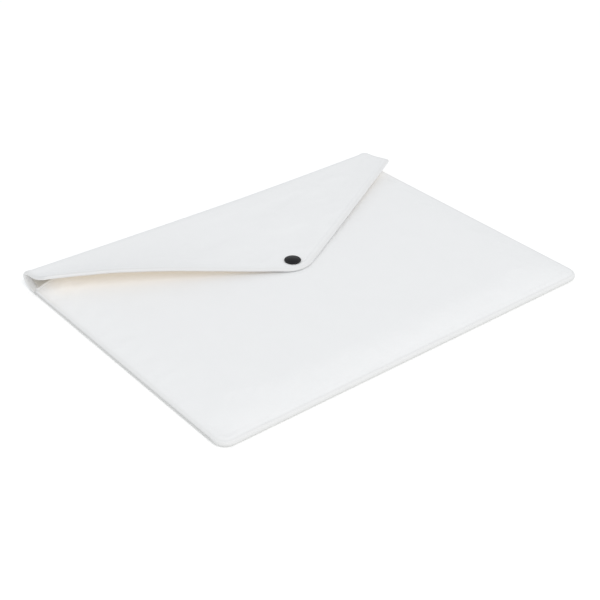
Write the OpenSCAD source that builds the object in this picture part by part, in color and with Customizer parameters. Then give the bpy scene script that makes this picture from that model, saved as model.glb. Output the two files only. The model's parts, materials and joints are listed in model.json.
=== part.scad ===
// Soft portfolio case of envelope form: a slim A4 pouch with a wide V flap and one snap fastener.
// +X runs along the long side, +Y from the near long edge to the fold that carries the flap, +Z up.
// The origin is the middle of the footprint, on the surface that the case lies on.

/* [Case] */
// Length of the case along its long side
case_w = 330; // [270:1:400]
// Depth from the near long edge to the outer face of the fold
case_d = 246; // [200:1:300]
// Radius of the two near corners, seen from above
corner_r = 10; // [6:0.5:25]
// Distance from the outer face of the fold to the edge of the pocket's mouth
mouth_setback = 15; // [12:0.5:40]

/* [Fabric] */
// Thickness of the outer cover
cover_t = 0.6; // [0.4:0.05:1]
// Thickness of the padding
padding_t = 1; // [0.5:0.1:2]
// Thickness of the lining
lining_t = 0.6; // [0.4:0.05:1]

/* [Pocket] */
// Height of the space inside the pocket, at its middle
pocket_gap = 4.7; // [4.5:0.1:7.5]
// Width of the flat rim where the two panels meet
rim_w = 3.8; // [2:0.1:8]
// Width of the slope from the rim up to the flat middle of the front panel
skirt_w = 26; // [15:1:45]
// Width of the turned hem along the mouth
hem_w = 3; // [1.5:0.5:8]

/* [Flap] */
// Depth of the flap, from the outer face of the fold to its tip
flap_depth = 121; // [90:1:160]
// Length of the flap's short ends, from the outer face of the fold to their sharp corner
flap_end = 35; // [25:1:60]
// Radius of the flap's tip
tip_r = 25; // [10:1:45]
// Radius of the flap's two outer corners
flap_corner_r = 5; // [4:0.5:12]
// Width of the turned border round the flap
border_w = 3; // [2:0.5:3.5]
// How far the border stands out of each face of the flap
border_rise = 0.3; // [0.1:0.05:0.35]
// Outside radius of the soft loop that carries the flap
fold_r = 8; // [7.2:0.1:12]
// How far the flap bows up between the fold and the snap
flap_bow = 0.5; // [0:0.5:8]
// Space between the front panel and the flap at the snap
flap_lift = 0.7; // [0.7:0.05:2]

/* [Snap] */
// Diameter of the cap
cap_d = 12.5; // [10:0.1:16]
// Height of the cap above the flap
cap_h = 1.4; // [1:0.1:3]
// Height of the cap's straight rim
cap_rim_h = 0.4; // [0.2:0.1:0.8]
// Distance from the flap's tip to the middle of the snap
snap_margin = 12.2; // [10:0.1:30]
// Diameter of the socket
socket_d = 10.4; // [9.5:0.1:12]
// Diameter of the stud's round head
stud_head_d = 4.8; // [4:0.1:5.4]
// Clearance between the stud's head and the socket
snap_clearance = 0.15; // [0.1:0.05:0.3]
// Diameter of the wire of the spring ring in the socket
spring_wire_d = 0.5; // [0.4:0.05:0.6]

/* [Joint] */
// Space between the still half and the turning half of the fold
fold_gap = 0.3; // [0.2:0.05:0.6]
// Diameter of the sewing thread
thread_d = 0.6; // [0.3:0.05:0.8]

/* [Hidden] */
$fn = 64;

cover_colour = "#f0f0f1";
lining_colour = "#e9e7e2";
padding_colour = "#f7f5ee";
snap_colour = "#141414";
steel_colour = "#9a9ca0";

// Clearance round a round piece that is let into the fabric
seat_clearance = 0.1;
// Steps in an arc of an outline, and along the flap's bow
arc_steps = 10;
bow_steps = 18;
// Overlap of a cutting shape past the shape that it cuts
past = 1;

panel_t = cover_t + padding_t + lining_t;
edge_r = panel_t;
half_w = case_w / 2;
half_d = case_d / 2;
panel_half_w = half_w - edge_r;
front_y = -half_d + edge_r;
fold_y = half_d - fold_r;
mouth_y = half_d - mouth_setback;
hem_y = mouth_y - hem_w;
rim_z = panel_t;
front_top_z = rim_z + pocket_gap + panel_t;
land_z = front_top_z + flap_lift + panel_t;
fold_top_z = 2 * fold_r;
tip_y = half_d - flap_depth;
snap_y = tip_y + snap_margin;
// The flap lies level from its tip to just past the snap
land_y = snap_y + cap_d;

// Middle of the tip's arc, and slope of the flap's two long edges
tip_centre_y = tip_y + tip_r;
corner_dy = half_d - flap_end - tip_centre_y;
edge_slope = atan2(corner_dy, half_w) + asin(tip_r / norm([half_w, corner_dy]));
corner_x = half_w - flap_corner_r;
corner_y = tip_centre_y + (corner_x * sin(edge_slope) - (tip_r - flap_corner_r)) / cos(edge_slope);

// Thicknesses and steps of the snap's metal
socket_ceiling = 0.35;
head_room = 0.2;
groove_rise = 0.4;
neck_step = 0.5;
shank_d = 2.4;
spring_gap_angle = 24;

// Heights in the snap, from the pocket up to the cap
flange_t = lining_t;
post_z = rim_z + pocket_gap;
stud_z = front_top_z - cover_t;
socket_z = front_top_z + flap_lift / 2;
socket_top_z = land_z - cover_t;
stud_top_z = socket_top_z - socket_ceiling - head_room;
bore_d = shank_d + 2 * seat_clearance;
head_bore_d = stud_head_d + 2 * snap_clearance;
spring_d = head_bore_d + spring_wire_d;
groove_h = spring_wire_d + 2 * seat_clearance;
groove_z = socket_z + groove_rise;

// ---- helpers ----

// Points of an arc from angle a0 to angle a1
function arc(centre, r, a0, a1) =
    [for (i = [0 : arc_steps]) centre + r * [cos(a0 + (a1 - a0) * i / arc_steps),
                                             sin(a0 + (a1 - a0) * i / arc_steps)]];

function mirrored(points) = [for (i = [len(points) - 1 : -1 : 0]) [-points[i].x, points[i].y]];

// Height of the flap's top face: level at the snap, bowed in the middle, level again at the fold
function bow_share(y) = max(0, min(1, (y - land_y) / (fold_y - land_y)));
function flap_z(y) =
    let (s = bow_share(y))
    land_z + (fold_top_z - land_z) * s * s * (3 - 2 * s) + flap_bow * pow(sin(180 * s), 2);

// A profile drawn in Y and Z, run along X about the middle
module along_x(length) {
    rotate([90, 0, 90]) linear_extrude(length, center = true) children();
}

// A profile drawn in X and Z, run along Y from y0 to y1
module along_y(y0, y1) {
    translate([0, y1, 0]) rotate([90, 0, 0]) linear_extrude(y1 - y0) children();
}

// ---- the flat back panel ----

// Outline of a panel with round near corners, up to y1
module panel_outline(y1) {
    r = corner_r - edge_r;
    corner = [panel_half_w - r, front_y + r];
    right = concat([[panel_half_w, y1]], mirrored(arc([-corner.x, corner.y], r, 270, 180)));
    polygon(concat(right, mirrored(right)));
}

module back_layer(z0, thickness) {
    translate([0, 0, z0]) linear_extrude(thickness) panel_outline(fold_y);
}

module back_cover() {
    color(cover_colour) back_layer(0, cover_t);
}

module back_padding() {
    color(padding_colour) back_layer(cover_t, padding_t);
}

module back_lining() {
    color(lining_colour) back_layer(cover_t + padding_t, lining_t);
}

// ---- edges where the two panels are joined ----

module half_round() {
    intersection() {
        circle(edge_r);
        translate([0, -edge_r]) square([edge_r, 2 * edge_r]);
    }
}

// The outer fabric turns up round the near long edge, corners included
module bottom_fold() {
    color(cover_colour) {
        translate([0, front_y, edge_r]) mirror([0, 1, 0]) along_x(2 * (half_w - corner_r)) half_round();
        for (side = [0, 1])
            mirror([side, 0, 0])
                translate([half_w - corner_r, corner_r - half_d, edge_r])
                    rotate([0, 0, -90])
                        rotate_extrude(angle = 90) translate([corner_r - edge_r, 0]) half_round();
    }
}

// The side seam is half round up to the mouth, and goes on under it along the back panel alone
module side_seam() {
    difference() {
        translate([panel_half_w, 0, edge_r]) union() {
            along_y(corner_r - half_d, mouth_y) half_round();
            intersection() {
                along_y(mouth_y, fold_y) half_round();
                translate([0, mouth_y, -edge_r]) cube([edge_r, fold_y - mouth_y, edge_r]);
            }
        }
        seam_bore(thread_d + seat_clearance, past);
    }
}

// The line of the hidden stitching, along the middle of the seam
module seam_bore(diameter, beyond) {
    translate([panel_half_w + edge_r / 2 - thread_d / 2, mouth_y + beyond, edge_r])
        rotate([90, 0, 0])
            cylinder(d = diameter, h = mouth_y + half_d - corner_r + 2 * beyond);
}

module left_side_seam() {
    color(cover_colour) mirror([1, 0, 0]) side_seam();
}

module right_side_seam() {
    color(cover_colour) side_seam();
}

module left_seam_thread() {
    color(cover_colour) mirror([1, 0, 0]) seam_bore(thread_d, 0);
}

module right_seam_thread() {
    color(cover_colour) seam_bore(thread_d, 0);
}

// ---- the raised front panel ----

// Outline in X and Z of all that lies under the front panel, up to a height over its inner face
module under_across(rise, reach) {
    slope_x = panel_half_w - rim_w;
    flat_x = slope_x - skirt_w;
    polygon([
        [-reach, -past], [reach, -past],
        [reach, rim_z + rise], [slope_x, rim_z + rise],
        [flat_x, rim_z + pocket_gap + rise], [-flat_x, rim_z + pocket_gap + rise],
        [-slope_x, rim_z + rise], [-reach, rim_z + rise]
    ]);
}

// The same in Y and Z, with a slope at the near edge only
module under_along(rise, y0, y1) {
    slope_y = front_y + rim_w;
    polygon([
        [y0, -past], [y1, -past],
        [y1, rim_z + pocket_gap + rise], [slope_y + skirt_w, rim_z + pocket_gap + rise],
        [slope_y, rim_z + rise], [y0, rim_z + rise]
    ]);
}

module under_front(rise, extra, y1) {
    reach = panel_half_w + extra;
    intersection() {
        along_y(front_y - extra, y1) under_across(rise, reach);
        along_x(2 * reach) under_along(rise, front_y - extra, y1);
    }
}

module front_layer(rise, thickness) {
    intersection() {
        difference() {
            under_front(rise + thickness, 0, hem_y);
            under_front(rise, past, hem_y + past);
        }
        linear_extrude(front_top_z + past) panel_outline(hem_y);
    }
}

module snap_hole(diameter) {
    translate([0, snap_y, 0]) cylinder(d = diameter, h = land_z + past);
}

module front_cover() {
    color(cover_colour) difference() {
        front_layer(lining_t + padding_t, cover_t);
        snap_hole(socket_d + 2 * seat_clearance);
    }
}

module front_padding() {
    color(padding_colour) difference() {
        front_layer(lining_t, padding_t);
        snap_hole(bore_d);
    }
}

module front_lining() {
    color(lining_colour) difference() {
        front_layer(0, lining_t);
        snap_hole(socket_d + 2 * seat_clearance);
    }
}

// The turned hem closes the front panel's three layers along the mouth
module mouth_hem() {
    color(cover_colour) difference() {
        along_y(hem_y, mouth_y) under_across(panel_t, panel_half_w);
        along_y(hem_y - past, mouth_y + past) under_across(0, panel_half_w + past);
    }
}

// ---- the soft loop that carries the flap ----

// A quarter of the loop, between two depths in from its outer face. half is -1 below, 1 above
module fold_quarter(outer, inner, half) {
    translate([0, fold_y, fold_r]) along_x(case_w) intersection() {
        difference() {
            circle(fold_r - outer);
            circle(fold_r - inner);
        }
        translate([0, half > 0 ? fold_gap / 2 : -fold_r]) square([fold_r, fold_r - fold_gap / 2]);
    }
}

module fold_lower_cover() {
    color(cover_colour) fold_quarter(0, cover_t, -1);
}

module fold_lower_padding() {
    color(padding_colour) fold_quarter(cover_t, cover_t + padding_t, -1);
}

module fold_lower_lining() {
    color(lining_colour) fold_quarter(cover_t + padding_t, panel_t, -1);
}

module fold_upper_cover() {
    color(cover_colour) fold_quarter(0, cover_t, 1);
}

module fold_upper_padding() {
    color(padding_colour) fold_quarter(cover_t, cover_t + padding_t, 1);
}

module fold_upper_lining() {
    color(lining_colour) fold_quarter(cover_t + padding_t, panel_t, 1);
}

// ---- the flap ----

// Outline of the flap from above, set in by some width on its free edges
module flap_outline(inset) {
    corner_arc = arc([corner_x, corner_y], flap_corner_r - inset, 0, edge_slope - 90);
    tip_arc = arc([0, tip_centre_y], tip_r - inset, edge_slope - 90, -edge_slope - 90);
    polygon(concat(
        [[half_w - inset, fold_y]], corner_arc, tip_arc, mirrored(corner_arc), [[inset - half_w, fold_y]]
    ));
}

// A sheet that follows the flap's bow, between two depths under its top face
module flap_sheet(upper, lower) {
    ys = concat([tip_y - past], [for (i = [0 : bow_steps]) land_y + (fold_y - land_y) * i / bow_steps]);
    top = [for (y = ys) [y, flap_z(y) - upper]];
    under = [for (i = [len(ys) - 1 : -1 : 0]) [ys[i], flap_z(ys[i]) - lower]];
    along_x(case_w + 2 * past) polygon(concat(top, under));
}

module flap_layer(upper, lower) {
    intersection() {
        linear_extrude(fold_top_z + land_z + flap_bow) flap_outline(border_w);
        flap_sheet(upper, lower);
    }
}

module flap_cover() {
    color(cover_colour) difference() {
        flap_layer(0, cover_t);
        snap_hole(bore_d);
    }
}

module flap_padding() {
    color(padding_colour) difference() {
        flap_layer(cover_t, cover_t + padding_t);
        snap_hole(socket_d + 2 * seat_clearance);
    }
}

module flap_lining() {
    color(lining_colour) difference() {
        flap_layer(cover_t + padding_t, panel_t);
        snap_hole(socket_d + 2 * seat_clearance);
    }
}

// The turned border runs round the short ends, the long edges and the tip
module flap_border() {
    color(cover_colour) intersection() {
        linear_extrude(fold_top_z + land_z + flap_bow) difference() {
            flap_outline(0);
            flap_outline(border_w);
        }
        flap_sheet(-border_rise, panel_t + border_rise);
    }
}

// ---- the snap fastener ----

module snap_cap() {
    dome_h = cap_h - cap_rim_h;
    dome_r = (pow(cap_d / 2, 2) + pow(dome_h, 2)) / (2 * dome_h);
    color(snap_colour) translate([0, snap_y, land_z]) {
        cylinder(d = cap_d, h = cap_rim_h);
        intersection() {
            translate([0, 0, cap_h - dome_r]) sphere(dome_r, $fn = 128);
            translate([0, 0, cap_rim_h]) cylinder(d = cap_d, h = cap_h);
        }
        translate([0, 0, -cover_t - socket_ceiling]) cylinder(d = shank_d, h = cover_t + socket_ceiling);
    }
}

module snap_socket() {
    color(steel_colour) translate([0, snap_y, 0]) difference() {
        translate([0, 0, socket_z]) cylinder(d = socket_d, h = socket_top_z - socket_z);
        translate([0, 0, socket_z - past])
            cylinder(d = head_bore_d, h = socket_top_z - socket_ceiling - socket_z + past);
        translate([0, 0, groove_z]) cylinder(d = spring_d + spring_wire_d + 2 * seat_clearance, h = groove_h);
        cylinder(d = bore_d, h = socket_top_z + past);
    }
}

// A split ring, open towards the flap's tip
module snap_spring() {
    color(steel_colour) translate([0, snap_y, groove_z + groove_h / 2])
        rotate([0, 0, spring_gap_angle / 2 - 90])
            rotate_extrude(angle = 360 - spring_gap_angle)
                translate([spring_d / 2 + seat_clearance / 2, 0]) circle(d = spring_wire_d);
}

module snap_stud() {
    neck_d = stud_head_d - neck_step;
    flange_h = cover_t;
    neck_h = (stud_top_z - front_top_z) / 2;
    color(steel_colour) translate([0, snap_y, stud_z]) difference() {
        union() {
            cylinder(d = socket_d, h = flange_h);
            translate([0, 0, flange_h]) cylinder(d = neck_d, h = neck_h);
            translate([0, 0, flange_h + neck_h])
                cylinder(d = stud_head_d, h = stud_top_z - front_top_z - neck_h);
        }
        translate([0, 0, -past]) cylinder(d = bore_d, h = stud_top_z - stud_z + 2 * past);
    }
}

// The post's flange lies in the lining, and its shank rises through the padding into the stud
module snap_post() {
    color(steel_colour) translate([0, snap_y, post_z]) {
        cylinder(d = socket_d, h = flange_t);
        translate([0, 0, flange_t]) cylinder(d = shank_d, h = stud_top_z - post_z - flange_t);
    }
}

back_cover();
back_padding();
back_lining();
bottom_fold();
left_side_seam();
right_side_seam();
left_seam_thread();
right_seam_thread();
front_cover();
front_padding();
front_lining();
mouth_hem();
fold_lower_cover();
fold_lower_padding();
fold_lower_lining();
fold_upper_cover();
fold_upper_padding();
fold_upper_lining();
flap_cover();
flap_padding();
flap_lining();
flap_border();
snap_cap();
snap_socket();
snap_spring();
snap_stud();
snap_post();
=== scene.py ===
"""Looks of a soft portfolio case: padded panels, a curled flap on a soft loop, and one snap fastener.

Lengths are in metres. +X runs along the case, +Y from the near edge to the loop, +Z up.
"""
import json
import math

import bmesh
import bpy
import numpy as np
from bpy.props import FloatProperty, FloatVectorProperty, IntProperty, PointerProperty
from mathutils import Matrix, Vector, geometry, noise

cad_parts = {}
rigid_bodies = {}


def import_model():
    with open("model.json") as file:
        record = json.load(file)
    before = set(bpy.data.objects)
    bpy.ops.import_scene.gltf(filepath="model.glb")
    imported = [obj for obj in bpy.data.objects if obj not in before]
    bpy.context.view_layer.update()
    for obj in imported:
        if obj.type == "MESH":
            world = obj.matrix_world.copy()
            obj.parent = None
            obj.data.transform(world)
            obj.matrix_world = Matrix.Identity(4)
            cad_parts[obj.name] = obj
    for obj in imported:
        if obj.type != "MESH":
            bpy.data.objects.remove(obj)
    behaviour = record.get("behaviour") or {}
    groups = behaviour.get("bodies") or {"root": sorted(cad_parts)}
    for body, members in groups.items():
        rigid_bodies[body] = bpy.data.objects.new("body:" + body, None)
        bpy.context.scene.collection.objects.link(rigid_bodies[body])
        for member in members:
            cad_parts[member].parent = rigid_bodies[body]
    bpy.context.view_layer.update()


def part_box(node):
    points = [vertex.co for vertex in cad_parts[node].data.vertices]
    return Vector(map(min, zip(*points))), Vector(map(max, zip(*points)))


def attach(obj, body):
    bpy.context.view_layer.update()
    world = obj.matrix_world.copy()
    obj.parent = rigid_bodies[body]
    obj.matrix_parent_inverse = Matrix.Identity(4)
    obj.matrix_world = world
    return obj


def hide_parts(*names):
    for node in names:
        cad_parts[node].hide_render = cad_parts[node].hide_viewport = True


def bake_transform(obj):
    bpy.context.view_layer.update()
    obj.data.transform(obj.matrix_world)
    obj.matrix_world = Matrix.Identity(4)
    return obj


bl_info = {
    "name": "Portfolio Case",
    "version": (1, 0, 0),
    "blender": (4, 5, 0),
    "location": "3D View > Sidebar > Portfolio Case",
    "description": "Builds a soft portfolio case around its packed construction model",
    "category": "Add Mesh",
}

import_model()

MM = 0.001

# Places read from the construction model
HALF_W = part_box("right_side_seam")[1].x
BACK_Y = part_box("fold_lower_cover")[1].y
SEAM_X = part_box("back_cover")[1].x
NEAR_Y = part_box("back_cover")[0].y
COVER_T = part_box("back_cover")[1].z
PANEL_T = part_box("back_lining")[1].z
HALF_T = PANEL_T / 2
RIM_Z = 2 * PANEL_T
FRONT_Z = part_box("front_cover")[1].z
HEM_Y, MOUTH_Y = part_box("mouth_hem")[0].y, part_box("mouth_hem")[1].y
TIP_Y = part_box("flap_border")[0].y
FLAP_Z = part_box("flap_cover")[0].z + COVER_T
SNAP_Y = sum(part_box("snap_cap")[i].y for i in (0, 1)) / 2
BEAD = HALF_W - SEAM_X


# ---- sizes and colours that can be changed ----

def length(name, description, default, **more):
    return FloatProperty(name=name, description=description, default=default, unit="LENGTH",
                         precision=5, **more)


def colour(name, description, default):
    return FloatVectorProperty(name=name, description=description, default=default,
                               subtype="COLOR", size=3, min=0, max=1)


class CaseShape(bpy.types.PropertyGroup):
    """Sizes of the case's soft shapes."""
    near_corner: length("Near corner", "Radius of the two near corners", 10 * MM)
    flap_end: length("Flap end", "Length of the flap's short ends", 35 * MM)
    flap_corner: length("Flap corner", "Radius of the flap's outer corners", 4.5 * MM)
    flap_tip: length("Flap tip", "Radius of the flap's tip", 25 * MM)
    border: length("Border", "Width of the turned border round the flap", 5.4 * MM)
    border_rise: length("Border rise", "How far the border stands out", 0.32 * MM)
    crown: length("Crown slope", "Width of the slope round the front panel", 30 * MM)
    loop_left: length("Loop, left", "Height of the loop at its left end", 15.2 * MM)
    loop_middle: length("Loop, middle", "Least height of the loop", 12 * MM)
    loop_right: length("Loop, right", "Height of the loop at its right end", 13.8 * MM)
    loop_low_x: length("Loop's low place", "Where along the case the loop is lowest", 35 * MM)
    lift_left: length("Left curl", "Rise of the flap's left corner", 13 * MM)
    lift_right: length("Right curl", "Rise of the flap's right corner", 5.9 * MM)
    curl_reach: length("Curl reach", "Length of the left curl along the edge", 135 * MM)
    pucker: length("Pucker", "Height of the small puckers along the seams", 0.16 * MM)


class CaseStitching(bpy.types.PropertyGroup):
    """Sizes of the thread in the seams."""
    pitch: length("Stitch pitch", "Distance from one stitch to the next", 3.1 * MM)
    stitch: length("Stitch length", "Length of one stitch", 2.5 * MM)
    thread: length("Thread", "Diameter of the thread", 0.5 * MM)
    seed: IntProperty(name="Seed", description="Seed of the stitches' small differences", default=4)


class CaseColours(bpy.types.PropertyGroup):
    """Colours of the case's materials."""
    cover: colour("Cover", "Colour of the outer fabric", (0.90, 0.903, 0.91))
    # Painted shade: this grey is mixed into the cover near its edges and on the lower side of its rounded
    # edges, where shade falls
    edge: colour("Edge", "Colour of the fabric where it turns round an edge", (0.60, 0.60, 0.588))
    lining: colour("Lining", "Colour of the lining", (0.815, 0.80, 0.765))
    # Painted light: the flap's lining glows in this colour, in place of light soaking through the flap, and
    # lightens the shade under it
    lining_glow: colour("Soaked light", "Light that soaks through the flap to its lining", (1.0, 0.83, 0.62))
    thread: colour("Thread", "Colour of the sewing thread", (0.80, 0.79, 0.77))
    cap: colour("Cap", "Colour of the enamelled cap", (0.006, 0.006, 0.007))
    metal: colour("Metal", "Colour of the plated snap parts", (0.62, 0.63, 0.65))


class CaseStage(bpy.types.PropertyGroup):
    """Camera and light."""
    lens: FloatProperty(name="Lens", description="Focal length in millimetres", default=75.36)
    place: FloatVectorProperty(name="Camera", description="Place of the camera", size=3,
                               subtype="TRANSLATION", precision=5,
                               default=(-0.50683, -0.610905, 0.481634))
    turn: FloatProperty(name="Turn", description="Heading of the camera from +Y",
                        default=math.radians(-39.447), subtype="ANGLE")
    pitch: FloatProperty(name="Pitch", description="How far the camera looks down",
                         default=math.radians(32.073), subtype="ANGLE")
    roll: FloatProperty(name="Roll", description="Roll of the camera",
                        default=math.radians(0.617), subtype="ANGLE")
    sky: FloatProperty(name="Sky", description="Strength of the light from all round", default=0.78)
    key: FloatProperty(name="Key", description="Power of the large soft lamp", default=70.0)


# ---- curves and outlines ----

def ease(u):
    """A smooth step from 0 to 1."""
    u = np.clip(u, 0.0, 1.0)
    return u * u * (3 - 2 * u)


def spread(x, centre, width):
    """A bell curve with its top at centre."""
    return np.exp(-((x - centre) / width) ** 2)


class Outline:
    """A path with round corners, and its copies moved to its left by an inset."""
    LEAST_RADIUS = 0.05 * MM

    def __init__(self, corners, radii, step, arc_steps):
        self.corners = np.array(corners, float)
        self.radii, self.arc_steps = radii, arc_steps
        runs = np.diff(self.corners, axis=0)
        self.along = runs / np.linalg.norm(runs, axis=1)[:, None]
        self.left = np.stack([-self.along[:, 1], self.along[:, 0]], axis=1)
        self.counts = [max(2, round(float(np.linalg.norm(run)) / step)) for run in runs]

    def corner(self, i, inset):
        """Points of one round corner."""
        before, after = self.along[i - 1], self.along[i]
        n0, n1 = self.left[i - 1], self.left[i]
        sharp = self.corners[i] + inset * (n0 + n1) / (1 + n0 @ n1)
        turn = math.atan2(before[0] * after[1] - before[1] * after[0], before @ after)
        radius = max(self.radii[i - 1] - inset, self.LEAST_RADIUS)
        start = sharp - before * radius * math.tan(turn / 2)
        centre = start + n0 * radius
        angles = np.linspace(0, turn, self.arc_steps[i - 1] + 1)[:, None]
        return centre - radius * (n0 * np.cos(angles) - before * np.sin(angles))

    def points(self, inset):
        """The moved path. Every inset gives as many points."""
        last = len(self.corners) - 1
        stops = [self.corners[0][None] + inset * self.left[0]]
        stops += [self.corner(i, inset) for i in range(1, last)]
        stops += [self.corners[-1][None] + inset * self.left[-1]]
        made = [stops[0]]
        for before, after, count in zip(stops, stops[1:], self.counts):
            share = np.linspace(0, 1, count + 1)[1:-1, None]
            made += [before[-1] * (1 - share) + after[0] * share, after]
        return np.concatenate(made)

    def inside(self, points):
        """Distance from points inside to the nearest straight run."""
        gaps = [(points - corner) @ n for corner, n in zip(self.corners, self.left)]
        return np.min(gaps, axis=0)


def cut_panel(outline, insets, top_y, fill):
    """A flat mesh of rings along an outline, filled with triangles up to top_y.

    Returns the places, how far in each one is, the faces, and the row of vertices along the top."""
    rings = [outline.points(inset) for inset in insets]
    count = len(rings[0])
    places = np.concatenate(rings)
    distance = np.repeat(insets, count)
    faces = []
    for k in range(len(rings) - 1):
        for j in range(count - 1):
            a = k * count + j
            faces.append((a, a + 1, a + count + 1, a + count))
    inner = list(range((len(rings) - 1) * count, len(rings) * count))
    left_x, right_x = rings[-1][0][0], rings[-1][-1][0]
    columns = round((right_x - left_x) / fill)
    top = np.linspace(left_x, right_x, columns + 1)[1:-1]
    top = np.stack([top, np.full(len(top), top_y)], axis=1)
    low = places.min(axis=0)
    rows = int((top_y - low[1]) / (fill * math.sqrt(3) / 2))
    grid = [(left_x + (i + 0.5 * (j % 2)) * fill, top_y - (j + 1) * fill * math.sqrt(3) / 2)
            for j in range(rows) for i in range(columns + 1)]
    grid = np.array(grid)
    grid = grid[outline.inside(grid) > insets[-1] + 0.6 * fill]
    top_index = list(range(len(places), len(places) + len(top)))
    places = np.concatenate([places, top, grid])
    distance = np.concatenate([distance, outline.inside(np.concatenate([top, grid]))])
    loop = inner + top_index[::-1]
    used = loop + list(range(top_index[-1] + 1, len(places)))
    flat = [Vector(places[i]) for i in used]
    found = geometry.delaunay_2d_cdt(flat, [], [list(range(len(loop)))], 1, 1e-9)
    source = [used[ids[0]] for ids in found[3]]
    faces += [tuple(source[v] for v in face) for face in found[2]]
    left = [k * count for k in range(len(rings))]
    right = [k * count + count - 1 for k in reversed(range(len(rings)))]
    return places, distance, faces, left + top_index + right


# ---- meshes ----

# A corner with this normal keeps the mesh's own shading
OWN_NORMAL = (0.0, 0.0, 0.0)
# Painted shade at the turned edges: how strongly the fabric is darkened there, and how far in
EDGE_SHADE, EDGE_REACH = 0.45, 2.2 * MM

def triangles_of(faces):
    return np.array([(f[0], f[i], f[i + 1]) for f in faces for i in range(1, len(f) - 1)])


def normals_of(points, faces):
    """Smooth vertex normals of a surface."""
    t = triangles_of(faces)
    area = np.cross(points[t[:, 1]] - points[t[:, 0]], points[t[:, 2]] - points[t[:, 0]])
    total = np.zeros_like(points)
    for k in range(3):
        np.add.at(total, t[:, k], area)
    return total / np.maximum(np.linalg.norm(total, axis=1), 1e-12)[:, None]


def mesh_piece(name, points, faces, normals, uv, edge, material):
    """An object from faces.

    normals holds one direction per corner of a face, or is None for the mesh's own."""
    mesh = bpy.data.meshes.new(name)
    mesh.from_pydata([tuple(p) for p in points], [], faces)
    mesh.polygons.foreach_set("use_smooth", [True] * len(faces))
    corners = np.zeros(len(mesh.loops), np.int32)
    mesh.loops.foreach_get("vertex_index", corners)
    layer = mesh.uv_layers.new(name="fabric")
    layer.data.foreach_set("uv", np.asarray(uv)[corners].astype(np.float32).ravel())
    # The edge attribute carries painted shade: how far the woven materials darken each vertex
    edge_shade_share = mesh.attributes.new("edge", "FLOAT", "POINT")
    edge_shade_share.data.foreach_set("value", np.asarray(edge, np.float32))
    if normals is not None:
        mesh.normals_split_custom_set([tuple(n) for n in normals])
    mesh.materials.append(material)
    piece = bpy.data.objects.new(name, mesh)
    bpy.context.scene.collection.objects.link(piece)
    return piece


class Cloth:
    """A padded sheet about its middle surface, from which closed pieces are cut."""
    NO_WIDTH = 1e-7

    def __init__(self, middle, faces, uv, distance):
        self.middle, self.faces, self.uv, self.distance = middle, faces, uv, distance
        self.normals = normals_of(middle, faces)

    def moved(self, offset):
        return self.middle + self.normals * np.asarray(offset)[:, None]

    def piece(self, name, wanted, over, under, material):
        """A closed slab of the wanted faces, from under to over the middle surface."""
        upper, lower = self.moved(over), self.moved(under)
        upper_n = normals_of(upper, self.faces)
        lower_n = -normals_of(lower, self.faces)
        used = sorted({v for f in wanted for v in f})
        thin = np.abs(over - under) < self.NO_WIDTH
        top = {v: i for i, v in enumerate(used)}
        bottom, extra = {}, []
        for v in used:
            bottom[v] = top[v] if thin[v] else len(used) + len(extra)
            if not thin[v]:
                extra.append(v)
        points = np.concatenate([upper[used], lower[extra]])
        faces, normals, borders = [], [], {}
        for f in wanted:
            faces.append([top[v] for v in f])
            normals += [OWN_NORMAL if thin[v] else upper_n[v] for v in f]
            faces.append([bottom[v] for v in reversed(f)])
            normals += [OWN_NORMAL if thin[v] else lower_n[v] for v in reversed(f)]
            for a, b in zip(f, f[1:] + f[:1]):
                if (b, a) in borders:
                    del borders[(b, a)]
                else:
                    borders[(a, b)] = True
        for a, b in borders:
            if thin[a] and thin[b]:
                continue
            side = [top[a], bottom[a], bottom[b], top[b]]
            side = [v for i, v in enumerate(side) if v != side[i - 1]]
            faces.append(side)
            normals += self.side_normals([points[v] for v in side])
        both = used + extra
        # Painted shade: the fabric darkens close to its turned edges
        edge_shade_share = EDGE_SHADE * spread(self.distance[both], 0, EDGE_REACH)
        return mesh_piece(name, points, faces, normals, self.uv[both], edge_shade_share, material)

    @staticmethod
    def side_normals(corners):
        n = np.cross(corners[1] - corners[0], corners[2] - corners[0])
        return [n / max(np.linalg.norm(n), 1e-15)] * len(corners)


def turned_edge(distance, rise):
    """Half of a panel's thickness at a distance in from its turned edge, with the ridge of the turning."""
    round_part = np.sqrt(np.maximum(0, HALF_T ** 2 - np.maximum(HALF_T - distance, 0) ** 2))
    border = bpy.context.scene.case_shape.border
    ridge = ease((distance - 0.5 * MM) / (1.6 * MM)) - ease((distance - border + 1.1 * MM) / (2.0 * MM))
    crease = spread(distance, border, 0.5 * MM) * 0.1 * MM
    return round_part + rise * ridge - crease


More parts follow.
